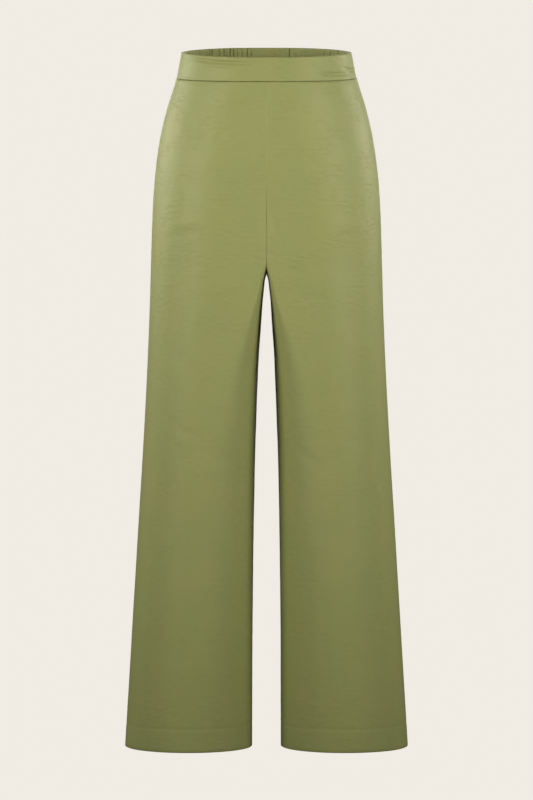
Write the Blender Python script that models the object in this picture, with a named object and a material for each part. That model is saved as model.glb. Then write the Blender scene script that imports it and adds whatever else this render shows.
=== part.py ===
"""Wide-leg satin trousers, filled out as if worn, hollow and open at the waist and at both hems.

The garment is four cloth panels (a front and a back for each leg) and a waistband in two pieces: a
flat front and a back that is gathered on elastic. Each panel is a thin wall lofted through level
sections. A section runs from the side seam round to the seam in the middle, which is the centre seam
above the crotch and the inseam below it.

Metres, +Z up. The front faces -Y and the wearer's left is +X. The origin is the middle of the waist,
half way up the waistband. The tables are in millimetres.
"""

import bmesh
import bpy
import numpy as np

MM = 0.001

# Heights, from the middle of the waistband
WAIST_SEAM = -19.2 * MM
BAND_TOP_SIDE = 19.8 * MM
BAND_TOP_FRONT = 16.6 * MM
BAND_TOP_BACK = 22.3 * MM
CROTCH = -309 * MM
HEM = -1023 * MM
HEM_TURN_UP = 35 * MM
TURN_UP_STEP = 2 * MM

# Walls
CLOTH = 1.2 * MM
TURNED_UP_CLOTH = 2.2 * MM
FRONT_BAND_CLOTH = 2.4 * MM
BACK_BAND_CLOTH = 3.0 * MM
SEAM_GAP = 0.3 * MM

# The waistband leans in toward its top edge, which is rolled
BAND_LEANS_IN_AT_SIDES = 6.7 * MM
BAND_LEANS_IN_AT_MIDDLE = 4.5 * MM
BAND_EDGE_ROLL = 0.5 * MM

# Columns from a panel's side seam to its crown, and as many again from there to its middle seam
FRONT_COLUMNS = 9
BACK_COLUMNS = 13
LEAST_CROWN = 60 * MM
FRONT_BAND_COLUMNS = 40
BACK_BAND_COLUMNS = 130
BAND_ROWS = 3
# A section's columns stand closer where it turns: a turn of one radian counts as this much length
LENGTH_OF_A_RADIAN = 40 * MM
# Folds and gathers fade out over this many columns at a panel's seams
SEAM_COLUMNS = 2

# Rows of each panel from the waist down, in mm: each stretch starts at a height and takes its own step
ROW_STEPS = (
    ("start", "step"),
    (-19.2, 15),
    (-80, 25),
    (-230, 13),
    (-283, 8.7),
    (-309, 9),
    (-336, 22),
    (-380, 76),
)

# The outline of the cloth at each height. side is the half width at the side seam. front and back are
# how far the cloth stands before and behind the side seam, which it reaches at front_at and back_at
# from the middle. side_round says how full the corner between is: 0.55 is an ellipse, 1 is square.
OUTLINE = (
    ("height", "side", "front_at", "front", "back_at", "back", "side_round"),
    (-19.2, 133.5, 24, 106, 24, 104, 0.58),
    (-34, 138.4, 27, 108, 27, 107, 0.58),
    (-52, 144.5, 30, 110, 31, 111.5, 0.58),
    (-82, 152.9, 35, 113, 38, 118.5, 0.58),
    (-112, 159.3, 42, 115, 46, 124, 0.59),
    (-157, 165.6, 54, 116.5, 58, 129, 0.6),
    (-202, 169.1, 66, 117, 68, 131, 0.6),
    (-247, 171.0, 76, 117, 76, 129.5, 0.6),
    (-309, 173.0, 85, 116, 84, 124, 0.6),
    (-352, 174.2, 90, 114.5, 90, 119.5, 0.6),
    (-442, 177.8, 95, 110.5, 95, 112, 0.59),
    (-562, 184.1, 100.5, 105, 100.5, 105, 0.58),
    (-683, 191.6, 105.7, 100, 105.7, 99.5, 0.57),
    (-864, 202.6, 112.2, 94, 112.2, 93.5, 0.56),
    (-1023, 212.4, 117.2, 90.5, 117.2, 90, 0.56),
)

# The inside of each leg. front_in and back_in are how far its innermost line hangs from the middle:
# above the crotch that line would lie past the middle, so the cloth is cut off there by the middle seam,
# which sinks between the legs. The corner starts front_reach or back_reach from the innermost line.
INSIDE = (
    ("height", "front_in", "front_reach", "back_in", "back_reach", "round"),
    (-19.2, -60, 36, -76, 50, 0.7),
    (-120, -50, 36, -54, 50, 0.7),
    (-160, -38, 36, -42, 50, 0.7),
    (-200, -29, 36, -33, 50, 0.7),
    (-225, -25, 36, -27, 50, 0.7),
    (-250, -21, 36, -20.5, 50, 0.7),
    (-270, -16.5, 36, -14, 50, 0.7),
    (-284, -11, 36, -8.7, 50, 0.7),
    (-296, -4.9, 36, -3.6, 50, 0.7),
    (-303, -1.2, 36, -0.9, 50, 0.7),
    (-309, 0.15, 36, 0.15, 50, 0.7),
    (-314, 1.9, 36, 1.9, 50, 0.7),
    (-322, 3.3, 37, 3.3, 51, 0.7),
    (-337, 4.9, 40, 4.9, 53, 0.69),
    (-352, 6.5, 45, 6.5, 56, 0.68),
    (-382, 8.5, 55, 8.5, 63, 0.65),
    (-442, 12.4, 68, 12.4, 72, 0.62),
    (-502, 14.9, 76, 14.9, 78, 0.6),
    (-622, 18.5, 83, 18.5, 84, 0.58),
    (-743, 20.4, 87, 20.4, 87, 0.57),
    (-864, 21.6, 90, 21.6, 90, 0.56),
    (-1023, 22.0, 95, 22.0, 95, 0.56),
)

# The largest soft folds, as troughs. side is +1 on the wearer's left leg and -1 on the right. A trough
# runs from (top_across, top) to (foot_across, foot), across being the distance from the middle.
FOLDS = (
    ("face", "side", "top_across", "top", "foot_across", "foot", "half_width", "depth"),
    ("front", -1, 118, -232, 134, -440, 21, 3.2),
    ("front", -1, 62, -330, 84, -640, 20, 1.4),
    ("front", 1, 118, -240, 136, -420, 23, 2.4),
    ("front", 1, 66, -390, 88, -720, 20, 1.4),
    ("back", -1, 42, -285, 112, -395, 15, 3.4),
    ("back", 1, 46, -280, 118, -405, 16, 3.0),
    ("back", -1, 66, -330, 106, -480, 15, 2.2),
    ("back", 1, 60, -345, 100, -470, 14, 2.4),
    ("back", -1, 128, -400, 140, -800, 20, 2.6),
    ("back", 1, 130, -430, 142, -760, 21, 2.4),
)

# Gathers of the elastic back of the waistband, from the wearer's right side seam to the left one:
# where each stretch starts and ends as a share of the back, how many gathers it has and their height
BAND_GATHERS = (
    ("start", "end", "count", "height"),
    (0.03, 0.17, 4, 1.3),
    (0.17, 0.42, 8, 2.0),
    (0.42, 0.63, 4, 0.8),
    (0.63, 0.88, 7, 1.4),
    (0.88, 0.97, 3, 1.0),
)
# The elastic puckers the inner face by this share of what the outer face shows
INNER_GATHERS = 0.6
# Below the seam the gathers run together into a few soft folds of each back panel, which fade out
PANEL_GATHERS = 5
PANEL_GATHER_HEIGHT = 2.4 * MM
PANEL_GATHER_LENGTH = 120 * MM

SATIN = (0.327, 0.339, 0.138)
SATIN_ROUGHNESS = 0.42


def rows_of(table):
    """The rows of a table as dictionaries of its named columns."""
    names, *rows = table
    return [dict(zip(names, row)) for row in rows]


def between_rows(heights, values, height):
    """A value read between the rows of a table by a cubic that never overshoots them."""
    down = -np.array(heights, float)
    step = np.diff(down)
    slope = np.diff(values) / step
    tangent = np.zeros(len(values))
    for k in range(1, len(values) - 1):
        if slope[k - 1] * slope[k] > 0:
            before = 2 * step[k] + step[k - 1]
            after = step[k] + 2 * step[k - 1]
            tangent[k] = (before + after) / (before / slope[k - 1] + after / slope[k])
    tangent[0] = slope[0]
    tangent[-1] = slope[-1]
    at = np.clip(-height, down[0], down[-1])
    k = int(np.clip(np.searchsorted(down, at) - 1, 0, len(step) - 1))
    t = (at - down[k]) / step[k]
    rising = (1 + 2 * t) * (1 - t) ** 2 * values[k] + t * (1 - t) ** 2 * step[k] * tangent[k]
    falling = t * t * (3 - 2 * t) * values[k + 1] + t * t * (t - 1) * step[k] * tangent[k + 1]
    return float(rising + falling)


def reading(table, height):
    """Every column of a table at this height, which is in metres. What it returns is as in the table."""
    rows = rows_of(table)
    heights = [row["height"] for row in rows]
    names = [name for name in rows[0] if name != "height"]
    return {n: between_rows(heights, [row[n] for row in rows], height / MM) for n in names}


def corner_arc(start, corner, end, fullness, count=40):
    """A smooth quarter from start to end, leaving and arriving along the lines to the corner."""
    start, corner, end = (np.array(p, float) for p in (start, corner, end))
    first = start + fullness * (corner - start)
    last = end + fullness * (corner - end)
    t = np.linspace(0, 1, count)[:, None]
    return (
        (1 - t) ** 3 * start
        + 3 * (1 - t) ** 2 * t * first
        + 3 * (1 - t) * t**2 * last
        + t**3 * end
    )


def columns_along(line, columns, length_of_a_radian=LENGTH_OF_A_RADIAN):
    """Points spread along a level line, the line's direction at each, and their lengths along it."""
    steps = np.linalg.norm(np.diff(line, axis=0), axis=1)
    line = line[np.concatenate([[True], steps > 1e-9])]
    steps = steps[steps > 1e-9]
    lengths = np.concatenate([[0], np.cumsum(steps)])
    slopes = np.gradient(line, lengths, axis=0)
    turns = np.abs(np.diff(np.unwrap(np.arctan2(slopes[:, 1], slopes[:, 0]))))
    spread = np.concatenate([[0], np.cumsum(steps + turns * length_of_a_radian)])
    wanted = np.linspace(0, spread[-1], columns + 1)
    points = np.stack([np.interp(wanted, spread, line[:, k]) for k in (0, 1)], 1)
    along = np.stack([np.interp(wanted, spread, slopes[:, k]) for k in (0, 1)], 1)
    return points, along / np.linalg.norm(along, axis=1)[:, None], np.interp(wanted, spread, lengths)


def quarter_turn(along, way):
    """The level direction into the garment: way is +1 where a section is drawn clockwise."""
    return way * np.stack([along[:, 1], -along[:, 0]], 1)


def parted_at(line, across):
    """The two parts of a line that runs toward the middle, cut at this distance from the middle."""
    past = np.flatnonzero(line[:, 0] < across)
    if len(past) == 0:
        return line, line[-1:]
    near, far = line[past[0] - 1], line[past[0]]
    cut = near + (near[0] - across) / (near[0] - far[0]) * (far - near)
    return np.vstack([line[: past[0]], cut]), np.vstack([cut, line[past[0] :]])


def panel_section(face, height):
    """A panel's section on the wearer's left leg: from side seam to crown, and on to the middle seam."""
    outline = reading(OUTLINE, height)
    inside = reading(INSIDE, height)
    way = -1 if face == "front" else 1
    edge = way * SEAM_GAP / 2
    side = outline["side"] * MM
    deepest = way * outline[face] * MM
    crown = (outline[face + "_at"] * MM, deepest)
    innermost = inside[face + "_in"] * MM
    start = (min(crown[0], innermost + inside[face + "_reach"] * MM), deepest)
    outer = corner_arc((side, edge), (side, deepest), crown, outline["side_round"])
    inner = corner_arc(start, (innermost, deepest), (innermost, edge), inside["round"], 200)
    whole, _ = parted_at(np.vstack([outer, inner]), SEAM_GAP / 2)
    return parted_at(whole, max(crown[0], LEAST_CROWN))


def fold_depths(face, side, across, height):
    """How far the soft folds press the cloth in, at each distance from the middle."""
    depths = np.zeros(len(across))
    for fold in rows_of(FOLDS):
        share = (height / MM - fold["top"]) / (fold["foot"] - fold["top"])
        if (fold["face"], fold["side"]) != (face, side) or not 0 < share < 1:
            continue
        bottom_line = fold["top_across"] + share * (fold["foot_across"] - fold["top_across"])
        off = (across / MM - bottom_line) / fold["half_width"]
        # A fold is deepest a little above the middle of its length
        depths += fold["depth"] * MM * np.sin(np.pi * share**0.75) * np.exp(-(off**2))
    return depths


def band_gather_heights(shares):
    """How far the gathered waistband stands out, at each share of the back."""
    heights = np.zeros(len(shares))
    for zone in rows_of(BAND_GATHERS):
        along = (shares - zone["start"]) / (zone["end"] - zone["start"])
        wave = 0.5 - 0.5 * np.cos(2 * np.pi * zone["count"] * along)
        # A slower wave makes neighbouring gathers unlike
        uneven = 0.72 + 0.28 * np.sin(2 * np.pi * 0.37 * zone["count"] * along + 9 * zone["start"])
        heights += np.where((along > 0) & (along < 1), zone["height"] * MM * wave * uneven, 0)
    return heights


def panel_gather_heights(side, shares, height):
    """How far the soft folds under the elastic stand out, at shares from side seam to centre seam."""
    fade = max(0.0, 1 - (WAIST_SEAM - height) / PANEL_GATHER_LENGTH) ** 1.4
    wave = 0.5 - 0.5 * np.cos(2 * np.pi * PANEL_GATHERS * shares)
    uneven = 0.7 + 0.3 * np.sin(2 * np.pi * 1.7 * shares + side)
    return fade * PANEL_GATHER_HEIGHT * wave * uneven


def row_heights():
    """The heights of a panel's rows, with one at each end of a stretch and of the hem turn-up."""
    stretches = rows_of(ROW_STEPS)
    ends = [row["start"] * MM for row in stretches[1:]] + [HEM + HEM_TURN_UP]
    heights = [WAIST_SEAM - SEAM_GAP / 2]
    for row, end in zip(stretches, ends):
        count = round((heights[-1] - end) / (row["step"] * MM))
        heights += list(np.linspace(heights[-1], end, count + 1)[1:])
    return heights + [HEM + HEM_TURN_UP - TURN_UP_STEP, HEM]


def new_satin(name):
    satin = bpy.data.materials.new(name)
    satin.use_nodes = True
    shader = satin.node_tree.nodes["Principled BSDF"]
    shader.inputs["Base Color"].default_value = (*SATIN, 1)
    shader.inputs["Roughness"].default_value = SATIN_ROUGHNESS
    shader.inputs["Metallic"].default_value = 0
    return satin


def wall_object(name, shown, hidden, collection):
    """A closed wall between two grids of points, in rows of columns, with its four edges filled."""
    work = bmesh.new()
    near, far = [[[work.verts.new(p) for p in row] for row in grid] for grid in (shown, hidden)]
    rows = len(shown)
    columns = len(shown[0])
    for grid in (near, far):
        for r in range(rows - 1):
            for c in range(columns - 1):
                work.faces.new((grid[r][c], grid[r][c + 1], grid[r + 1][c + 1], grid[r + 1][c]))
    for r in (0, rows - 1):
        for c in range(columns - 1):
            work.faces.new((near[r][c], near[r][c + 1], far[r][c + 1], far[r][c]))
    for c in (0, columns - 1):
        for r in range(rows - 1):
            work.faces.new((near[r][c], near[r + 1][c], far[r + 1][c], far[r][c]))
    bmesh.ops.recalc_face_normals(work, faces=work.faces)
    mesh = bpy.data.meshes.new(name)
    work.to_mesh(mesh)
    work.free()
    mesh.materials.append(new_satin("satin_of_" + name))
    mesh.shade_smooth()
    mesh.set_sharp_from_angle(angle=np.radians(50))
    collection.objects.link(bpy.data.objects.new(name, mesh))


def leg_panel(face, side, collection):
    """One front or back panel: side is +1 for the wearer's left leg and -1 for the right."""
    way = 1 if face == "front" else -1
    columns = FRONT_COLUMNS if face == "front" else BACK_COLUMNS
    from_edge = np.minimum(np.arange(2 * columns + 1), np.arange(2 * columns, -1, -1))
    free = np.minimum(1, from_edge / SEAM_COLUMNS)
    shown = []
    hidden = []
    for height in row_heights():
        parts = [columns_along(line, columns) for line in panel_section(face, height)]
        points = np.vstack([parts[0][0], parts[1][0][1:]])
        along = np.vstack([parts[0][1], parts[1][1][1:]])
        lengths = np.concatenate([parts[0][2], parts[0][2][-1] + parts[1][2][1:]])
        shares = lengths / lengths[-1]
        into = quarter_turn(along, way)
        pressed = fold_depths(face, side, points[:, 0], height)
        if face == "back":
            pressed = pressed - panel_gather_heights(side, shares, height)
        points = points + into * (pressed * free)[:, None]
        thick = TURNED_UP_CLOTH if height < HEM + HEM_TURN_UP else CLOTH
        inside = points + into * thick
        inside[:, 0] = np.maximum(inside[:, 0], SEAM_GAP / 2)
        inside[0, 1] = points[0, 1]
        if height < CROTCH:
            inside[-1, 1] = points[-1, 1]
        shown.append([(side * x, y, height) for x, y in points])
        hidden.append([(side * x, y, height) for x, y in inside])
    leg = "left" if side > 0 else "right"
    wall_object(f"{face}_panel_{leg}", shown, hidden, collection)


def band_top(y, deepest):
    """The height of the waistband's top edge, which dips at the front and rises at the back."""
    middle = BAND_TOP_FRONT if y < 0 else BAND_TOP_BACK
    share = min(1.0, abs(y) / deepest)
    return BAND_TOP_SIDE + (middle - BAND_TOP_SIDE) * share**2


def waistband(face, collection):
    """The front or back piece of the waistband, from the wearer's right side seam to the left one."""
    columns = FRONT_BAND_COLUMNS if face == "front" else BACK_BAND_COLUMNS
    thick = FRONT_BAND_CLOTH if face == "front" else BACK_BAND_CLOTH
    way = -1 if face == "front" else 1
    gathered = np.zeros(columns + 1)
    if face == "back":
        gathered = band_gather_heights(np.linspace(0, 1, columns + 1))
    bottom = WAIST_SEAM + SEAM_GAP / 2
    seam = reading(OUTLINE, WAIST_SEAM)
    shown = []
    hidden = []
    for share_up in np.linspace(0, 1, BAND_ROWS + 1):
        half_width = seam["side"] * MM - BAND_LEANS_IN_AT_SIDES * share_up
        deepest = seam[face] * MM - BAND_LEANS_IN_AT_MIDDLE * share_up
        start = (half_width, way * SEAM_GAP / 2)
        corner = (half_width, way * deepest)
        crown = (seam[face + "_at"] * MM, way * deepest)
        left = corner_arc(start, corner, crown, seam["side_round"])
        line = np.concatenate([left * (-1, 1), left[::-1]])
        points, along, _ = columns_along(line, columns, 0)
        into = quarter_turn(along, way)
        roll = BAND_EDGE_ROLL * (share_up == 1)
        outside = points - into * (gathered - roll)[:, None]
        inside = points + into * (thick + INNER_GATHERS * gathered - roll)[:, None]
        inside[[0, -1], 1] = points[[0, -1], 1]
        rise = [bottom + (band_top(y, deepest) - bottom) * share_up for y in points[:, 1]]
        shown.append([(x, y, z) for (x, y), z in zip(outside, rise)])
        hidden.append([(x, y, z) for (x, y), z in zip(inside, rise)])
    wall_object(f"waistband_{face}", shown, hidden, collection)


def build():
    for thing in list(bpy.data.objects):
        bpy.data.objects.remove(thing, do_unlink=True)
    trousers = bpy.data.collections.new("satin_trousers")
    bpy.context.scene.collection.children.link(trousers)
    for face in ("front", "back"):
        waistband(face, trousers)
        for side in (1, -1):
            leg_panel(face, side, trousers)


build()
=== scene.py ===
"""The looks of the satin trousers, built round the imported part.

They are pull-on wide-leg trousers in olive slubbed satin, filled out by a figure that is not there. Each
of the four leg panels and the two waistband pieces is one thin sheet of cloth on the form of its solid,
with the turned-in edges, hem and folds that the real one has. The front faces -Y and the wearer's left
is +X. Lengths are in metres, and those in tables are in millimetres.
"""

import math

import bpy
import numpy as np
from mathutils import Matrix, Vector, noise


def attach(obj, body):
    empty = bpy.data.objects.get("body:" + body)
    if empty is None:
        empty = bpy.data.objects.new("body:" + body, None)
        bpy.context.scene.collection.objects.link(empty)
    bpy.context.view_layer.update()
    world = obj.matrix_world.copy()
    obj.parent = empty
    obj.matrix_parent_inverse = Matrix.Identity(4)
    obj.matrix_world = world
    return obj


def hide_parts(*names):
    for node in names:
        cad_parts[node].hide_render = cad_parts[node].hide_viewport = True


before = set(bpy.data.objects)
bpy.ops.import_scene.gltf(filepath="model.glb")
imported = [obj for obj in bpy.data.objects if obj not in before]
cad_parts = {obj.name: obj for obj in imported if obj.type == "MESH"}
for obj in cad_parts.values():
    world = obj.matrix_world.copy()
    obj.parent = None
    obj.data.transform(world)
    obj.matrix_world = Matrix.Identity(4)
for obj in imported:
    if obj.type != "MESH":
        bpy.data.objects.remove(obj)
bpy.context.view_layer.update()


# ---- Leg panels -------------------------------------------------------------------------------------
# Each is cut in one piece from waist to hem, in a light satin with slub yarns across it. The panels are
# sewn together with 12 mm seams pressed open inside, and the raw hem is turned up 35 mm and blind sewn.

MM = 0.001
WAIST_SEAM = -19.2 * MM
CROTCH = -309 * MM
HEM = -1023 * MM
HEM_TURN_UP = 35 * MM
CLOTH = 0.45 * MM
SEAM_CLEARANCE = 0.08 * MM

# The cloth's outline at each height, as in the part's source: the half width at the side seam, how far
# the crowns before and behind it stand out, and how far from the middle they are
OUTLINE = (
    ("height", "side", "front_at", "front", "back_at", "back", "side_round"),
    (-19.2, 133.5, 24, 106, 24, 104, 0.58),
    (-34, 138.4, 27, 108, 27, 107, 0.58),
    (-52, 144.5, 30, 110, 31, 111.5, 0.58),
    (-82, 152.9, 35, 113, 38, 118.5, 0.58),
    (-112, 159.3, 42, 115, 46, 124, 0.59),
    (-157, 165.6, 54, 116.5, 58, 129, 0.6),
    (-202, 169.1, 66, 117, 68, 131, 0.6),
    (-247, 171.0, 76, 117, 76, 129.5, 0.6),
    (-309, 173.0, 85, 116, 84, 124, 0.6),
    (-352, 174.2, 90, 114.5, 90, 119.5, 0.6),
    (-442, 177.8, 95, 110.5, 95, 112, 0.59),
    (-562, 184.1, 100.5, 105, 100.5, 105, 0.58),
    (-683, 191.6, 105.7, 100, 105.7, 99.5, 0.57),
    (-864, 202.6, 112.2, 94, 112.2, 93.5, 0.56),
    (-1023, 212.4, 117.2, 90.5, 117.2, 90, 0.56),
)

# The innermost line of each leg, which the middle seam cuts off above the crotch, and how far from that
# line the cloth starts to turn in. In front, near the crotch, the corner is fuller than in the part's source
INSIDE = (
    ("height", "front_in", "front_reach", "back_in", "back_reach", "round"),
    (-19.2, -60, 36, -76, 50, 0.7),
    (-120, -50, 36, -54, 50, 0.7),
    (-160, -38, 34, -42, 50, 0.71),
    (-200, -29, 31, -33, 49, 0.73),
    (-225, -25, 28, -27, 48, 0.75),
    (-250, -21, 25, -20.5, 47, 0.77),
    (-270, -16.5, 22, -14, 46, 0.79),
    (-284, -11, 14, -8.7, 46, 0.8),
    (-296, -4.9, 10, -3.6, 46, 0.8),
    (-303, -1.2, 8, -0.9, 46, 0.8),
    (-309, 0.15, 8, 0.15, 46, 0.8),
    (-314, 1.9, 8, 1.9, 46, 0.8),
    (-322, 3.3, 8, 3.3, 47, 0.8),
    (-337, 4.9, 10, 4.9, 49, 0.79),
    (-352, 6.5, 13, 6.5, 52, 0.78),
    (-382, 8.5, 22, 8.5, 60, 0.76),
    (-442, 12.4, 40, 12.4, 70, 0.72),
    (-502, 14.9, 54, 14.9, 76, 0.68),
    (-622, 18.5, 73, 18.5, 82, 0.63),
    (-743, 20.4, 81, 20.4, 86, 0.6),
    (-864, 21.6, 87, 21.6, 89, 0.58),
    (-1023, 22.0, 95, 22.0, 95, 0.56),
)
LEAST_CROWN = 60 * MM
LENGTH_OF_A_RADIAN = 20 * MM

# The largest soft folds, as in the part's source
FOLDS = (
    ("face", "side", "top_across", "top", "foot_across", "foot", "half_width", "depth"),
    ("front", -1, 118, -232, 134, -440, 21, 3.2),
    ("front", -1, 62, -330, 84, -640, 20, 1.4),
    ("front", 1, 118, -240, 136, -420, 23, 2.4),
    ("front", 1, 66, -390, 88, -720, 20, 1.4),
    ("back", -1, 42, -285, 112, -395, 15, 3.4),
    ("back", 1, 46, -280, 118, -405, 16, 3.0),
    ("back", -1, 66, -330, 106, -480, 15, 2.2),
    ("back", 1, 60, -345, 100, -470, 14, 2.4),
    ("back", -1, 128, -400, 140, -800, 20, 2.6),
    ("back", 1, 130, -430, 142, -760, 21, 2.4),
)

# Smaller creases between two points, each given as a distance from the middle and a height. A depth
# above 0 is a trough, one below 0 a ridge, and bow is how far its middle is pulled down.
CREASES = (
    ("face", "side", "from_across", "from_height", "to_across", "to_height", "bow", "half_width", "depth"),
    # Drag across the front of the thighs, from the hip down to the crotch
    ("front", -1, 158, -256, 84, -228, 3, 9, 0.45),
    ("front", -1, 150, -238, 96, -216, 2, 8, -0.3),
    ("front", 1, 158, -248, 86, -236, 3, 8, 0.4),
    ("front", 1, 150, -231, 100, -222, 2, 7, -0.3),
    ("front", 1, 3, -196, 20, -256, 2, 8, 1.3),
    # Pulled in where the waistband is sewn on
    ("front", 1, 98, -22, 136, -21, 0, 2.5, 0.9),
    ("front", -1, 76, -22, 126, -22, 0, 2.2, 0.7),
    ("front", -1, 11, -208, 10, -292, 0, 7, -0.9),
    ("front", -1, 4, -262, 44, -288, 4, 6, 0.5),
    ("front", 1, 20, -284, 66, -304, 5, 5, 0.45),
    ("front", -1, 28, -318, 78, -342, 4, 7, 0.4),
    ("front", 1, 40, -330, 92, -338, 4, 6, 0.4),
    # Soft breaks where the knees bend
    ("front", -1, 148, -520, 96, -548, 6, 11, 0.6),
    ("front", 1, 152, -556, 104, -540, 5, 12, 0.55),
    ("front", -1, 38, -588, 84, -566, 5, 10, 0.45),
    ("front", 1, 44, -560, 90, -590, 6, 10, 0.5),
    # Long upright waves of the lower legs
    ("front", -1, 118, -560, 132, -1010, 0, 15, 0.9),
    ("front", -1, 74, -620, 82, -1016, 0, 17, -0.8),
    ("front", 1, 142, -600, 160, -1015, 0, 16, 0.9),
    ("front", 1, 96, -580, 104, -1012, 0, 18, -0.8),
    ("front", 1, 58, -700, 60, -1018, 0, 13, 0.6),
    # Behind: drag under the seat, at the backs of the knees and in the lower legs
    ("back", -1, 20, -262, 96, -330, 8, 8, 1.1),
    ("back", -1, 30, -300, 120, -352, 9, 7, 0.9),
    ("back", 1, 24, -256, 104, -322, 9, 8, 1.0),
    ("back", 1, 22, -312, 96, -372, 7, 8, 1.0),
    ("back", -1, 150, -300, 100, -270, 5, 9, 0.7),
    ("back", 1, 152, -318, 108, -282, 5, 9, 0.7),
    ("back", -1, 54, -540, 132, -566, 8, 10, 1.0),
    ("back", -1, 62, -576, 150, -590, 7, 9, 0.8),
    ("back", 1, 48, -556, 136, -548, 9, 10, 1.0),
    ("back", 1, 66, -600, 140, -580, 7, 9, 0.7),
    ("back", -1, 92, -600, 96, -1012, 0, 17, 1.0),
    ("back", -1, 150, -640, 164, -1014, 0, 16, -0.8),
    ("back", 1, 84, -620, 90, -1010, 0, 16, 1.0),
    ("back", 1, 138, -590, 152, -1012, 0, 17, -0.8),
)

# Gathers of the elastic back, from the wearer's right side seam to the left one, as in the part's source
BAND_GATHERS = (
    ("start", "end", "count", "height"),
    (0.03, 0.17, 4, 1.3),
    (0.17, 0.42, 8, 2.0),
    (0.42, 0.63, 4, 0.8),
    (0.63, 0.88, 7, 1.4),
    (0.88, 0.97, 3, 1.0),
)
PANEL_GATHERS = 5
PANEL_GATHER_HEIGHT = 2.4 * MM
PANEL_GATHER_LENGTH = 120 * MM
# Right under the elastic each of its gathers still shows, and dies out in this length
SHORT_GATHER_LENGTH = 17 * MM
SHORT_GATHER_SHARE = 0.55


def rows_of(table):
    """The rows of a table as dictionaries of its named columns."""
    names, *rows = table
    return [dict(zip(names, row)) for row in rows]


def between_rows(table, name, heights):
    """A column of a table at these heights, by a cubic that never overshoots the rows."""
    rows = rows_of(table)
    down = -np.array([row["height"] for row in rows], float) * MM
    values = np.array([row[name] for row in rows], float)
    step = np.diff(down)
    slope = np.diff(values) / step
    tangent = np.zeros(len(values))
    for k in range(1, len(values) - 1):
        if slope[k - 1] * slope[k] > 0:
            before = 2 * step[k] + step[k - 1]
            after = step[k] + 2 * step[k - 1]
            tangent[k] = (before + after) / (before / slope[k - 1] + after / slope[k])
    tangent[0] = slope[0]
    tangent[-1] = slope[-1]
    at = np.clip(-np.asarray(heights, float), down[0], down[-1])
    k = np.clip(np.searchsorted(down, at) - 1, 0, len(step) - 1)
    t = (at - down[k]) / step[k]
    rising = (1 + 2 * t) * (1 - t) ** 2 * values[k] + t * (1 - t) ** 2 * step[k] * tangent[k]
    falling = t * t * (3 - 2 * t) * values[k + 1] + t * t * (t - 1) * step[k] * tangent[k + 1]
    return rising + falling


def corner_arc(start, corner, end, fullness, count=60):
    """A smooth quarter from start to end, leaving and arriving along the lines to the corner."""
    start, corner, end = (np.array(p, float) for p in (start, corner, end))
    first = start + fullness * (corner - start)
    last = end + fullness * (corner - end)
    t = np.linspace(0, 1, count)[:, None]
    return (
        (1 - t) ** 3 * start
        + 3 * (1 - t) ** 2 * t * first
        + 3 * (1 - t) * t**2 * last
        + t**3 * end
    )


def parted_at(line, across):
    """The two parts of a line that runs toward the middle, cut at this distance from the middle."""
    past = np.flatnonzero(line[:, 0] < across)
    if len(past) == 0:
        return line, line[-1:]
    near, far = line[past[0] - 1], line[past[0]]
    cut = near + (near[0] - across) / (near[0] - far[0]) * (far - near)
    return np.vstack([line[: past[0]], cut]), np.vstack([cut, line[past[0] :]])


def columns_along(line, columns, length_of_a_radian=LENGTH_OF_A_RADIAN):
    """Points spread along a level line, the line's direction at each, and their lengths along it."""
    steps = np.linalg.norm(np.diff(line, axis=0), axis=1)
    line = line[np.concatenate([[True], steps > 1e-9])]
    steps = steps[steps > 1e-9]
    lengths = np.concatenate([[0], np.cumsum(steps)])
    slopes = np.gradient(line, lengths, axis=0)
    turns = np.abs(np.diff(np.unwrap(np.arctan2(slopes[:, 1], slopes[:, 0]))))
    spread = np.concatenate([[0], np.cumsum(steps + turns * length_of_a_radian)])
    wanted = np.linspace(0, spread[-1], columns + 1)
    points = np.stack([np.interp(wanted, spread, line[:, k]) for k in (0, 1)], 1)
    along = np.stack([np.interp(wanted, spread, slopes[:, k]) for k in (0, 1)], 1)
    return points, along / np.linalg.norm(along, axis=1)[:, None], np.interp(wanted, spread, lengths)


def panel_sections(face, heights):
    """For each height the panel's level line on the left leg, from side seam to crown to middle seam."""
    outline = {name: between_rows(OUTLINE, name, heights) for name in OUTLINE[0][1:]}
    inside = {name: between_rows(INSIDE, name, heights) for name in INSIDE[0][1:]}
    way = -1 if face == "front" else 1
    edge = way * SEAM_CLEARANCE
    for k in range(len(heights)):
        side = outline["side"][k] * MM
        deepest = way * outline[face][k] * MM
        crown = (outline[face + "_at"][k] * MM, deepest)
        innermost = inside[face + "_in"][k] * MM
        start = (min(crown[0], innermost + inside[face + "_reach"][k] * MM), deepest)
        outer = corner_arc((side, edge), (side, deepest), crown, outline["side_round"][k])
        inner = corner_arc(start, (innermost, deepest), (innermost, edge), inside["round"][k], 260)
        whole, _ = parted_at(np.vstack([outer, inner]), SEAM_CLEARANCE)
        yield parted_at(whole, max(crown[0], LEAST_CROWN))


def fold_depths(face, side, across, height):
    """How far the large folds press the cloth in."""
    depths = np.zeros(across.shape)
    for fold in rows_of(FOLDS):
        if (fold["face"], fold["side"]) != (face, side):
            continue
        share = np.clip((height / MM - fold["top"]) / (fold["foot"] - fold["top"]), 0, 1)
        bottom_line = fold["top_across"] + share * (fold["foot_across"] - fold["top_across"])
        off = (across / MM - bottom_line) / fold["half_width"]
        depths += fold["depth"] * MM * np.sin(np.pi * share**0.75) * np.exp(-(off**2))
    return depths


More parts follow.
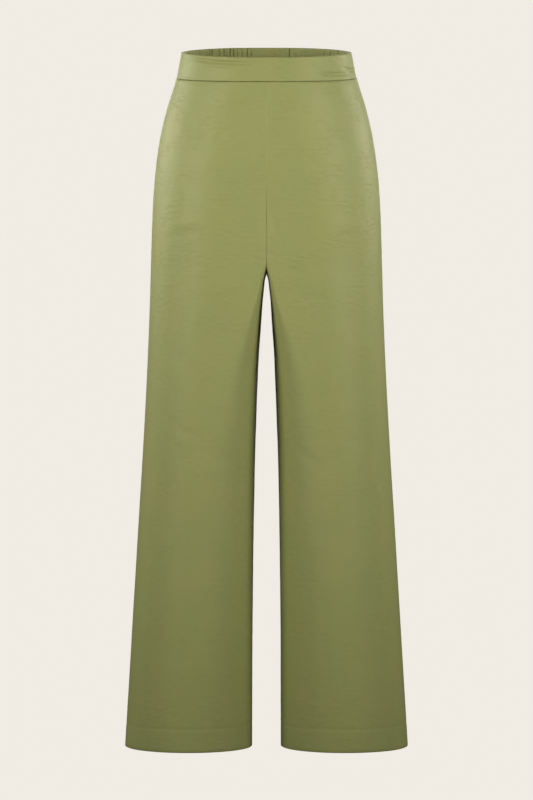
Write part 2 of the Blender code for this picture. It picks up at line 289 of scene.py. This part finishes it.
def crease_depths(creases, face, side, across, height):
    """How far the smaller creases press the cloth in. Each has a low swell on both its sides."""
    depths = np.zeros(across.shape)
    for crease in rows_of(creases):
        if (crease["face"], crease["side"]) != (face, side):
            continue
        start = np.array([crease["from_across"], crease["from_height"]])
        way = np.array([crease["to_across"], crease["to_height"]]) - start
        length = np.linalg.norm(way)
        way = way / length
        ahead = (across / MM - start[0]) * way[0] + (height / MM - start[1]) * way[1]
        above = (height / MM - start[1]) * abs(way[0])
        off = above - (across / MM - start[0]) * way[1] * np.sign(way[0] or 1)
        share = np.clip(ahead / length, 0, 1)
        off = (off + crease["bow"] * np.sin(np.pi * share)) / crease["half_width"]
        depths += crease["depth"] * MM * np.sin(np.pi * share) * np.exp(-(off**2)) * np.cos(1.5 * off)
    return depths


def gather_wave(shares):
    """How far the elastic's gathers stand out, at each share of the back from the wearer's right."""
    heights = np.zeros(shares.shape)
    for zone in rows_of(BAND_GATHERS):
        along = (shares - zone["start"]) / (zone["end"] - zone["start"])
        wave = 0.5 - 0.5 * np.cos(2 * np.pi * zone["count"] * along)
        uneven = 0.72 + 0.28 * np.sin(2 * np.pi * 0.37 * zone["count"] * along + 9 * zone["start"])
        heights += np.where((along > 0) & (along < 1), zone["height"] * MM * wave * uneven, 0)
    return heights


def panel_gather_heights(side, shares, height):
    """How far the gathers stand out on a back panel, at shares from side seam to centre seam."""
    below = WAIST_SEAM - height
    fade = np.clip(1 - below / PANEL_GATHER_LENGTH, 0, 1) ** 1.4
    wave = 0.5 - 0.5 * np.cos(2 * np.pi * PANEL_GATHERS * shares)
    uneven = 0.7 + 0.3 * np.sin(2 * np.pi * 1.7 * shares + side)
    of_the_back = 0.5 + 0.5 * side * (1 - shares)
    short = gather_wave(of_the_back) * SHORT_GATHER_SHARE * np.exp(-below / SHORT_GATHER_LENGTH)
    return fade * PANEL_GATHER_HEIGHT * wave * uneven + short


def soft_noise(across_size, down_size, seed, across, down):
    """Smooth noise from -1 to 1 over a sheet, whose swells have these two sizes."""
    flat = zip((across / across_size).ravel(), (down / down_size).ravel())
    values = [noise.noise(Vector((u, v, seed))) for u, v in flat]
    return np.array(values).reshape(across.shape)


# Hung satin is never quite even: long upright swells, and smaller ones between them
SWELLS = (
    ("across", "down", "height"),
    (46, 150, 0.75),
    (17, 34, 0.24),
    (9, 12, 0.07),
)
# Folds die out in this distance before a seam
FREE_OF_SEAM = 7 * MM
SEAM_PUCKER = 0.22 * MM
SEAM_PUCKER_LENGTH = 7 * MM
SEAM_PUCKER_REACH = 9 * MM
# The turned-up edge of the hem shows as a line of faint pricks, a little above which the cloth is single
HEM_LINE_DEPTH = 0.55 * MM
HEM_LINE_HALF_WIDTH = 2.6 * MM
HEM_PRICK_SPACING = 9.5 * MM


def uneven_cloth(seed, across, down):
    heights = np.zeros(across.shape)
    for number, swell in enumerate(rows_of(SWELLS)):
        size = (swell["across"] * MM, swell["down"] * MM)
        heights += swell["height"] * MM * soft_noise(*size, seed + 7.3 * number, across, down)
    return heights


def seam_puckers(seed, from_seam, down):
    """The small waves that the stitching draws in along a seam."""
    wave = soft_noise(1.0, SEAM_PUCKER_LENGTH, seed, from_seam * 0, down)
    return SEAM_PUCKER * wave * np.exp(-from_seam / SEAM_PUCKER_REACH)


def hem_line(length, height):
    """The trough along the top of the turned-up hem, deeper at each prick of the blind stitches."""
    off = (height - (HEM + HEM_TURN_UP)) / HEM_LINE_HALF_WIDTH
    pricks = 0.55 + 0.45 * np.cos(2 * np.pi * length / HEM_PRICK_SPACING)
    return HEM_LINE_DEPTH * np.exp(-(off**2)) * pricks


# Rows of a panel's sheet: height, how deep under the surface it lies, and whether it is the turned-in
# edge at the waist (above the seam, inside the waistband) or the turned-up hem (inside the leg)
WAIST_TUCK = ((6, 3.2), (3, 3.1), (1.6, 3.0), (0.7, 2.8), (0.0, 2.2), (-0.35, 1.2), (-0.6, 0.4))
HEM_FOLD = ((0.9, 0.02), (0.25, 0.25), (0, 0.8), (0.2, 1.4), (0.9, 1.85))
HEM_INSIDE = (2.5, 6, 12, 18, 24, 30, 35)
HEM_INSIDE_DEPTH = 2.05
ROW_STEPS = (
    ("start", "step"),
    (-20.1, 2.4),
    (-60, 4),
    (-260, 2.4),
    (-330, 4.6),
    (-960, 2.0),
    (-1006, 4),
)


def sheet_rows():
    """The heights of the sheet's rows from top to bottom, their depths, and how far down the cloth."""
    rows = [(WAIST_SEAM + up * MM, depth * MM, WAIST_SEAM + up * MM) for up, depth in WAIST_TUCK]
    stretches = rows_of(ROW_STEPS)
    ends = [row["start"] for row in stretches[1:]] + [HEM / MM + 2]
    for row, end in zip(stretches, ends):
        count = round((row["start"] - end) / row["step"])
        rows += [(h * MM, 0, h * MM) for h in np.linspace(row["start"], end, count, endpoint=False)]
    rows += [(HEM + up * MM, depth * MM, HEM + (up - depth) * MM) for up, depth in HEM_FOLD]
    rows += [(HEM + up * MM, HEM_INSIDE_DEPTH * MM, HEM - (up + 2) * MM) for up in HEM_INSIDE]
    return np.array(rows).T


# Columns of a panel's sheet: the surface between its two rolled edges, and the seam allowances that lie
# under it. Each is given as how far from the seam it lies and how deep.
EDGE_ROLL = ((0.0, 1.1), (0.15, 0.62), (0.5, 0.25), (1.1, 0.0))
ALLOWANCE = ((12, 1.55), (8, 1.5), (4, 1.5), (1.2, 1.5), (0.3, 1.4))
HALF_COLUMNS = 46
# How hard the middle seam draws in, from the waist down: hardly at first, and most above the crotch
MIDDLE_ROLL = (
    ("height", "pull"),
    (-19.2, 0.3),
    (-145, 0.35),
    (-175, 1.0),
    (-215, 1.7),
    (-250, 1.3),
    (-309, 1.3),
    (-400, 0.8),
    (-1023, 0.8),
)
# The front's middle seam sinks into a soft valley above the crotch
MIDDLE_VALLEY = (
    ("height", "depth"),
    (-19.2, 0),
    (-140, 0),
    (-175, 0.9),
    (-215, 1.7),
    (-245, 1.2),
    (-285, 0.5),
    (-309, 0),
    (-1023, 0),
)
VALLEY_HALF_WIDTH = 9 * MM
# The middle seam turns under the crotch this far above its lowest point
CROTCH_TURN = 3 * MM


def level_points(line_points, lengths, wanted):
    return np.stack([np.interp(wanted, lengths, line_points[:, k]) for k in (0, 1)], 1)


def panel_grid(face, side):
    """Every point of a panel's sheet, in rows of columns, and where each lies on the flat cloth."""
    way = 1 if face == "front" else -1
    heights, row_depths, down = sheet_rows()
    rolled = np.array(EDGE_ROLL) * MM
    turned = np.array(ALLOWANCE) * MM
    points, intos, lengths, depths, shares = [], [], [], [], []
    for height, row_depth, parts in zip(heights, row_depths, panel_sections(face, heights)):
        outer, inner = (columns_along(part, HALF_COLUMNS) for part in parts)
        line = np.vstack([outer[0], inner[0][1:]])
        along = np.vstack([outer[1], inner[1][1:]])
        length = np.concatenate([outer[2], outer[2][-1] + inner[2][1:]])
        total = length[-1]
        in_hem = row_depth > 1.2 * MM and height < CROTCH
        narrow = 0.15 if in_hem else 1.0
        middle = length[(length > 2.2 * MM) & (length < total - 2.2 * MM)]
        middle = np.interp(np.linspace(0, 1, 2 * HALF_COLUMNS - 3), np.linspace(0, 1, len(middle)), middle)
        near = np.concatenate([turned[:, 0] * narrow, rolled[:, 0]])
        at = np.concatenate([near, middle, total - near[::-1]])
        side_depth = np.concatenate([turned[:, 1], rolled[:, 1]])
        pull = between_rows(MIDDLE_ROLL, "pull", height)
        middle_depth = np.concatenate([turned[:, 1], rolled[:, 1] * pull])
        depth = np.concatenate([side_depth, np.zeros(len(middle)), middle_depth[::-1]])
        if in_hem:
            depth = np.minimum(depth, 0.3 * MM)
        direction = level_points(along, length, at)
        direction /= np.linalg.norm(direction, axis=1)[:, None]
        into = way * np.stack([direction[:, 1], -direction[:, 0]], 1)
        # The edges roll in square to the seam that they are sewn in, so that no gap opens between them
        edge = len(near)
        into[:edge] = (-1, 0)
        into[-edge:] = (0, way) if height > CROTCH + CROTCH_TURN else (1, 0)
        points.append(level_points(line, length, at))
        intos.append(into)
        lengths.append(at)
        depths.append(depth + row_depth)
        shares.append(at / total)
    points, intos, lengths, depths, shares = map(np.array, (points, intos, lengths, depths, shares))
    columns = points.shape[1]
    height = np.repeat(heights[:, None], columns, 1)
    down = np.repeat(down[:, None], columns, 1)
    surface = np.clip(height, HEM, WAIST_SEAM)
    across = points[:, :, 0]
    from_side = lengths
    from_middle = lengths / np.maximum(shares, 1e-6) * (1 - shares)
    from_seam = np.minimum(from_side, from_middle)
    free = np.clip(from_seam / FREE_OF_SEAM, 0, 1) ** 2
    free = free * (3 - 2 * np.sqrt(free))
    seed = 10.0 * (face == "front") + 5.0 * side
    relief = fold_depths(face, side, across, surface)
    relief += crease_depths(CREASES, face, side, across, surface)
    relief -= uneven_cloth(seed, lengths, surface)
    if face == "back":
        relief -= panel_gather_heights(side, shares, surface)
    relief = relief * free
    relief += seam_puckers(seed + 1.7, from_side, surface) * np.minimum(1, from_side / (3 * MM))
    relief += seam_puckers(seed + 3.1, from_middle, surface) * np.minimum(1, from_middle / (3 * MM))
    relief += hem_line(lengths, surface)
    if face == "front":
        valley = between_rows(MIDDLE_VALLEY, "depth", surface.ravel()).reshape(surface.shape) * MM
        relief += valley * np.exp(-((from_middle / VALLEY_HALF_WIDTH) ** 2))
    points = points + intos * (relief + depths)[:, :, None]
    points[:, :, 0] = np.maximum(points[:, :, 0], SEAM_CLEARANCE / 2)
    grid = np.dstack([side * points[:, :, 0], points[:, :, 1], height])
    return grid, np.dstack([lengths, down])


def linear(hex_colour):
    """A colour written as sRGB hex, in the linear numbers that a shader takes."""
    parts = [int(hex_colour[k : k + 2], 16) / 255 for k in (1, 3, 5)]
    return tuple(p / 12.92 if p <= 0.04045 else ((p + 0.055) / 1.055) ** 2.4 for p in parts) + (1.0,)


def add_node(tree, kind, inputs=None, **settings):
    """Adds a node with its settings. Each input is a value, or the output it is linked from."""
    added = tree.nodes.new(kind)
    for name, value in settings.items():
        setattr(added, name, value)
    for name, value in (inputs or {}).items():
        if isinstance(value, bpy.types.NodeSocket):
            tree.links.new(value, added.inputs[name])
        else:
            added.inputs[name].default_value = value
    return added


# The satin's slub yarns lie across it: each shows as a short level streak about 13 mm long and 5 mm high,
# in drifts, and the cloth crinkles a little between them
SLUB_LENGTH = 13 * MM
SLUB_HEIGHT = 5 * MM
DRIFT = 60 * MM
CRINKLE_LENGTH = 20 * MM
CRINKLE_HEIGHT = 12 * MM
MOTTLE = 55 * MM
# The weave's floats are 0.25 mm apart; they are drawn 1.2 mm apart, which is as fine as can show
FLOAT_SPACING = 1.2 * MM
RELIEF = 0.4 * MM
# The cloth's weight pulls the legs smooth: from this height down only a share of the relief is left
SMOOTH_BELOW = -450 * MM
SMOOTH_SHARE = 0.3
SATIN_GREEN = "#81854F"
SATIN_GOLD = "#84854F"


def slubbed_satin(name, shift):
    """Polyester satin woven with slub yarns: a soft broad sheen, broken by short level streaks."""
    satin = bpy.data.materials.new(name)
    satin.use_nodes = True
    tree = satin.node_tree
    shader = tree.nodes["Principled BSDF"]
    cloth = add_node(tree, "ShaderNodeTexCoord").outputs["UV"]

    def noise_over(length, height, detail, moved=0.0):
        placed = add_node(
            tree,
            "ShaderNodeMapping",
            {"Vector": cloth, "Location": (shift + moved, moved, 0), "Scale": (1 / length, 1 / height, 1)},
        )
        made = add_node(
            tree,
            "ShaderNodeTexNoise",
            {"Vector": placed.outputs[0], "Scale": 1.0, "Detail": detail, "Roughness": 0.55},
            noise_dimensions="2D",
        )
        return made.outputs["Fac"]

    def remap(value, low, high, to_low, to_high):
        made = add_node(
            tree,
            "ShaderNodeMapRange",
            {"Value": value, "From Min": low, "From Max": high, "To Min": to_low, "To Max": to_high},
        )
        return made.outputs[0]

    def combine(operation, first, second):
        return add_node(tree, "ShaderNodeMath", {0: first, 1: second}, operation=operation).outputs[0]

    streaks = remap(noise_over(SLUB_LENGTH, SLUB_HEIGHT, 0.5), 0.35, 0.7, 0.0, 1.0)
    drifts = remap(noise_over(DRIFT, DRIFT * 0.6, 2.0, 3.1), 0.4, 0.6, 0.2, 1.0)
    slubs = combine("MULTIPLY", streaks, drifts)
    crinkle = noise_over(CRINKLE_LENGTH, CRINKLE_HEIGHT, 2.0, 5.7)
    floats = noise_over(FLOAT_SPACING * 2, FLOAT_SPACING, 1.0, 9.2)
    mottle = remap(noise_over(MOTTLE, MOTTLE * 1.4, 2.0, 7.7), 0.3, 0.7, 0.0, 1.0)
    ground = add_node(
        tree,
        "ShaderNodeMix",
        {0: mottle, 6: linear(SATIN_GREEN), 7: linear(SATIN_GOLD)},
        data_type="RGBA",
    )
    tones = combine("ADD", remap(slubs, 0.0, 1.0, 1.01, 0.98), remap(floats, 0.3, 0.7, -0.01, 0.01))
    toned = add_node(
        tree,
        "ShaderNodeMix",
        {0: 1.0, 6: ground.outputs[2], 7: tones},
        data_type="RGBA",
        blend_type="MULTIPLY",
    )
    tree.links.new(toned.outputs[2], shader.inputs["Base Color"])
    tree.links.new(remap(slubs, 0.0, 1.0, 0.54, 0.62), shader.inputs["Roughness"])
    shader.inputs["Metallic"].default_value = 0.0
    shader.inputs["IOR"].default_value = 1.5
    shader.inputs["Specular IOR Level"].default_value = 0.3
    shader.inputs["Specular Tint"].default_value = (1.0, 0.98, 0.7, 1.0)
    shader.inputs["Sheen Weight"].default_value = 0.04
    shader.inputs["Sheen Roughness"].default_value = 0.4
    height = combine("ADD", combine("MULTIPLY", slubs, 0.85), combine("MULTIPLY", crinkle, 0.55))
    height = combine("ADD", height, combine("MULTIPLY", floats, 0.03))
    down = add_node(tree, "ShaderNodeSeparateXYZ", {"Vector": cloth}).outputs["Y"]
    height = combine("MULTIPLY", height, remap(down, SMOOTH_BELOW, WAIST_SEAM, SMOOTH_SHARE, 1.0))
    bump = add_node(tree, "ShaderNodeBump", {"Strength": 1.0, "Distance": RELIEF, "Height": height})
    tree.links.new(bump.outputs[0], shader.inputs["Normal"])
    return satin


def cloth_sheet(name, grid, on_cloth, material, flipped):
    """A thin sheet of cloth through a grid of points, with its places on the flat cloth as its UVs."""
    rows, columns = grid.shape[:2]
    number = np.arange(rows * columns).reshape(rows, columns)
    corners = [number[:-1, :-1], number[:-1, 1:], number[1:, 1:], number[1:, :-1]]
    faces = np.stack(corners[::-1] if flipped else corners, 2).reshape(-1, 4)
    mesh = bpy.data.meshes.new(name)
    mesh.from_pydata(grid.reshape(-1, 3).tolist(), [], faces.tolist())
    layer = mesh.uv_layers.new(name="cloth")
    layer.data.foreach_set("uv", on_cloth.reshape(-1, 2)[faces.ravel()].ravel())
    mesh.materials.append(material)
    mesh.shade_smooth()
    sheet = bpy.data.objects.new(name, mesh)
    bpy.context.scene.collection.objects.link(sheet)
    wall = sheet.modifiers.new("cloth", "SOLIDIFY")
    wall.thickness = CLOTH
    wall.offset = -1
    return sheet


for number, (face, side) in enumerate((f, s) for f in ("front", "back") for s in (1, -1)):
    leg = "left" if side > 0 else "right"
    grid, on_cloth = panel_grid(face, side)
    satin = slubbed_satin(f"slubbed_satin_{face}_{leg}", 2.0 * number)
    panel = cloth_sheet(f"leg_{face}_{leg}", grid, on_cloth, satin, (face == "front") == (side > 0))
    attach(panel, "root")
    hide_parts(f"{face}_panel_{leg}")


# ---- Waistband --------------------------------------------------------------------------------------
# A strip of the same satin, folded along the top and sewn to the panels below. In front it is faced and
# lies flat. Behind, a wide elastic inside it draws it into gathers, more of them on the wearer's right.

BAND_TOP_SIDE = 19.8 * MM
BAND_TOP_FRONT = 16.6 * MM
BAND_TOP_BACK = 22.3 * MM
BAND_WALL = {"front": 2.4 * MM, "back": 3.0 * MM}
BAND_LEANS_IN_AT_SIDES = 6.7 * MM
BAND_LEANS_IN_AT_MIDDLE = 4.5 * MM
INNER_GATHERS = 0.6
BAND_COLUMNS = {"front": 260, "back": 620}

# The strip from its outer raw edge, tucked up inside, round the seam, up the face, over the top and
# down the back: how far below the top edge, or above the seam, and how deep as a share of the wall
BAND_FOOT = ((7, 0.4), (2.8, 0.4), (1.5, 0.4), (1.05, 0.32), (1.0, 0.14), (1.25, 0.02), (1.9, 0.0))
# The folded foot of the band stands over the panel
BAND_OVERHANG = 0.8 * MM
BAND_OVERHANG_HEIGHT = 6 * MM
BAND_FACE = 16
BAND_FOLD = ((1.1, 0.0), (0.5, 0.06), (0.12, 0.24), (0.0, 0.5), (0.12, 0.76), (0.5, 0.94), (1.1, 1.0))


def band_top(y, deepest):
    """The height of the top edge, which dips at the front and rises at the back."""
    middle = np.where(y < 0, BAND_TOP_FRONT, BAND_TOP_BACK)
    return BAND_TOP_SIDE + (middle - BAND_TOP_SIDE) * np.clip(np.abs(y) / deepest, 0, 1) ** 2


def band_line(face, share_up):
    """The waistband's level line at a share of its height, from the wearer's right to the left."""
    way = -1 if face == "front" else 1
    side, deepest, crown_at, fullness = (
        between_rows(OUTLINE, name, [WAIST_SEAM])[0] for name in ("side", face, face + "_at", "side_round")
    )
    half_width = side * MM - BAND_LEANS_IN_AT_SIDES * share_up
    deepest = deepest * MM - BAND_LEANS_IN_AT_MIDDLE * share_up
    start = (half_width, way * SEAM_CLEARANCE)
    left = corner_arc(start, (half_width, way * deepest), (crown_at * MM, way * deepest), fullness, 120)
    return np.concatenate([left * (-1, 1), left[::-1]]), deepest


# Creases of the flat front of the waistband: heights are from the middle of the band
BAND_CREASES = (
    ("face", "side", "from_across", "from_height", "to_across", "to_height", "bow", "half_width", "depth"),
    ("front", -1, 122, 14, 6, 9, 2.5, 3.0, 3.0),
    ("front", -1, 112, 8.5, 30, 4.5, 2.5, 3.0, -1.2),
    ("front", -1, 60, 0, 0, 2, 1, 3.5, -0.3),
    ("front", 1, 6, 9, 62, 12, 1, 3.2, 0.4),
    ("front", 1, 74, -6, 129, -9, 2.0, 2.8, 2.8),
    ("front", 1, 92, 0, 130, -3, 1.0, 2.6, -0.5),
    ("front", 1, 112, -1, 133, -7, 0, 2.8, 3.0),
    ("front", 1, 112, -16.5, 134, -16.5, 0, 1.6, -0.6),
    ("front", -1, 96, -11, 130, -14, 1, 3, 0.5),
    ("back", -1, 60, -4, 118, -8, 1, 3, 0.3),
    ("back", 1, 40, 2, 96, -6, 1, 3, 0.25),
)

# The inside of the gathered back shows as narrow folds, each at a distance from the middle
INNER_FOLDS = (
    ("across", "half_width", "depth"),
    (-104, 1.6, 1.5),
    (-88, 0.9, 1.7),
    (-84, 0.8, 1.5),
    (-72, 1.1, 1.9),
    (-65, 0.9, 2.0),
    (-61, 0.8, 1.7),
    (-56, 1.0, 2.2),
    (-50, 1.3, 2.6),
    (-44, 0.8, 1.4),
    (-37, 1.1, 1.9),
    (-29, 0.9, 2.0),
    (-23, 1.0, 1.5),
    (-8, 1.6, 0.5),
    (18, 1.8, 0.5),
    (35, 0.7, 2.5),
    (42, 1.2, 1.0),
    (90, 1.4, 1.4),
    (99, 1.1, 1.7),
    (111, 1.3, 1.5),
)


def inner_folds(face, across):
    depths = np.zeros(across.shape)
    if face == "back":
        for fold in rows_of(INNER_FOLDS):
            off = (across / MM - fold["across"]) / fold["half_width"]
            depths += fold["depth"] * MM * np.exp(-(off**2))
    return depths


def band_grid(face):
    wall = BAND_WALL[face]
    columns = BAND_COLUMNS[face]
    foot = [("foot", up * MM, share) for up, share in BAND_FOOT]
    rising = [("face", share, 0.0) for share in np.linspace(0.09, 0.94, BAND_FACE)]
    fold = [("top", down * MM, share) for down, share in BAND_FOLD]
    falling = [("face", share, 1.0) for share in np.linspace(0.94, 0.04, BAND_FACE)]
    ending = [("foot", -0.6 * MM, 1.0), ("foot", -1.4 * MM, 0.94)]
    seam = WAIST_SEAM
    shares = np.linspace(0, 1, columns + 1)
    gathered = gather_wave(shares) if face == "back" else shares * 0
    grid, cloth = [], []
    down_cloth = 0.0
    before = None
    for kind, where, deep in foot + rising + fold + falling + ending:
        line, deepest = band_line(face, 0.5)
        points, _, _ = columns_along(line, columns, 0)
        top = band_top(points[:, 1], deepest)
        if kind == "foot":
            height = seam + where + 0 * top
        elif kind == "top":
            height = top - where
        else:
            height = seam + (top - seam) * where
        share_up = np.clip((height - seam) / (top - seam), 0, 1)
        low, _ = band_line(face, 0.0)
        high, _ = band_line(face, 1.0)
        low_points, along, lengths = columns_along(low, columns, 0)
        high_points, _, _ = columns_along(high, columns, 0)
        points = low_points + (high_points - low_points) * share_up[:, None]
        into = np.stack([along[:, 1], -along[:, 0]], 1) * (1 if face == "back" else -1)
        side = np.where(points[:, 0] < 0, -1, 1)
        pressed = np.zeros(columns + 1)
        if deep < 0.5:
            for one in (-1, 1):
                found = crease_depths(BAND_CREASES, face, one, np.abs(points[:, 0]), height)
                pressed += np.where(side == one, found, 0)
            pressed -= uneven_cloth(40.0, lengths, height) * 0.35
        ends = np.minimum(lengths, lengths[-1] - lengths)
        roll = np.interp(ends, [0, 0.4 * MM, 1.2 * MM], [0.8 * MM, 0.25 * MM, 0])
        swell = -gathered * (1 - deep) + INNER_GATHERS * gathered * deep
        if deep < 0.5:
            pressed -= BAND_OVERHANG * np.exp(-(height - seam) / BAND_OVERHANG_HEIGHT)
        else:
            pressed -= inner_folds(face, points[:, 0])
        outward = 1 - 2 * deep
        depth = wall * deep + swell + pressed + roll * outward
        points = points + into * depth[:, None]
        grid.append(np.column_stack([points, height]))
        if before is not None:
            down_cloth += float(np.linalg.norm(grid[-1] - before, axis=1).mean())
        before = grid[-1]
        cloth.append(np.column_stack([lengths, 0 * lengths - down_cloth]))
    return np.array(grid), np.array(cloth)


for number, face in enumerate(("front", "back")):
    grid, on_cloth = band_grid(face)
    satin = slubbed_satin(f"slubbed_satin_band_{face}", 11.0 + 2 * number)
    band = cloth_sheet(f"band_{face}", grid, on_cloth, satin, face == "front")
    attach(band, "root")
    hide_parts(f"waistband_{face}")


# ---- Studio -----------------------------------------------------------------------------------------
# A floor of white acrylic lit from below, far under the hems, and a pale surround. A pair of softboxes
# with grids lights the front from both sides, with weak fill from the middle. A pair behind and a small
# pair beside the hips give the cloth its sheen along the side seams, and one more lights the back.

FLOOR_HEIGHT = -1.6
FLOOR_SIZE = 400.0
PALE = "#F0ECE4"


def pale_floor():
    mesh = bpy.data.meshes.new("floor")
    half = FLOOR_SIZE / 2
    corners = [(-half, -half, FLOOR_HEIGHT), (half, -half, FLOOR_HEIGHT)]
    corners += [(half, half, FLOOR_HEIGHT), (-half, half, FLOOR_HEIGHT)]
    mesh.from_pydata(corners, [], [(0, 1, 2, 3)])
    acrylic = bpy.data.materials.new("opal_acrylic")
    acrylic.use_nodes = True
    shader = acrylic.node_tree.nodes["Principled BSDF"]
    shader.inputs["Base Color"].default_value = (0, 0, 0, 1)
    shader.inputs["Roughness"].default_value = 1.0
    shader.inputs["Specular IOR Level"].default_value = 0.0
    shader.inputs["Emission Color"].default_value = linear(PALE)
    shader.inputs["Emission Strength"].default_value = 1.0
    mesh.materials.append(acrylic)
    floor = bpy.data.objects.new("floor", mesh)
    floor.visible_diffuse = False
    floor.visible_glossy = False
    bpy.context.scene.collection.objects.link(floor)



def surround():
    world = bpy.data.worlds.new("surround")
    world.use_nodes = True
    background = world.node_tree.nodes["Background"]
    background.inputs["Color"].default_value = linear(PALE)
    background.inputs["Strength"].default_value = 1.0
    world.cycles_visibility.diffuse = False
    world.cycles_visibility.glossy = False
    bpy.context.scene.world = world


def softbox(name, place, aimed_at, width, height, power, spread):
    """A rectangular soft light, seen only by what it shines on."""
    lamp = bpy.data.lights.new(name, "AREA")
    lamp.shape = "RECTANGLE"
    lamp.size = width
    lamp.size_y = height
    lamp.energy = power
    lamp.spread = math.radians(spread)
    box = bpy.data.objects.new(name, lamp)
    box.location = place
    box.rotation_euler = (Vector(aimed_at) - Vector(place)).to_track_quat("-Z", "Y").to_euler()
    box.visible_camera = False
    bpy.context.scene.collection.objects.link(box)


pale_floor()
surround()
THIGHS = (0, 0, -0.4)
HIPS = (0, 0, -0.2)
softbox("front_right", (-1.70, -1.39, 0.25), HIPS, 1.2, 1.0, 14.9, 95)
softbox("front_left", (1.70, -1.39, 0.25), HIPS, 1.2, 1.0, 15.1, 95)
softbox("front", (0, -2.6, -0.5), THIGHS, 1.6, 1.0, 4.5, 180)
softbox("behind_right", (-1.3, 0.75, 0.15), HIPS, 0.6, 0.6, 9.5, 180)
softbox("behind_left", (1.3, 0.75, 0.15), HIPS, 0.6, 0.6, 8, 180)
softbox("back", (0, 2.6, 0.2), THIGHS, 1.6, 1.2, 34, 180)
softbox("hip_right", (-1.45, 0.2, 0.1), (-0.15, 0, -0.1), 0.3, 0.3, 0.15, 32)
softbox("hip_left", (1.45, 0.35, 0.1), (0.15, 0, -0.1), 0.3, 0.3, 0.07, 32)

# The photograph is taken from 12 m away with a long lens, 1 m above the middle of the trousers
CAMERA_PLACE = (0, -12, 0.524)
CAMERA_AIM = (0, 0, -0.5015)
CAMERA_LENS = 361.31

camera = bpy.data.objects.new("camera", bpy.data.cameras.new("camera"))
camera.location = CAMERA_PLACE
camera.rotation_euler = (Vector(CAMERA_AIM) - Vector(CAMERA_PLACE)).to_track_quat("-Z", "Y").to_euler()
camera.data.lens = CAMERA_LENS
camera.data.sensor_width = 36
camera.data.clip_end = 300
bpy.context.scene.collection.objects.link(camera)
bpy.context.scene.camera = camera
bpy.context.scene.view_settings.view_transform = "Standard"
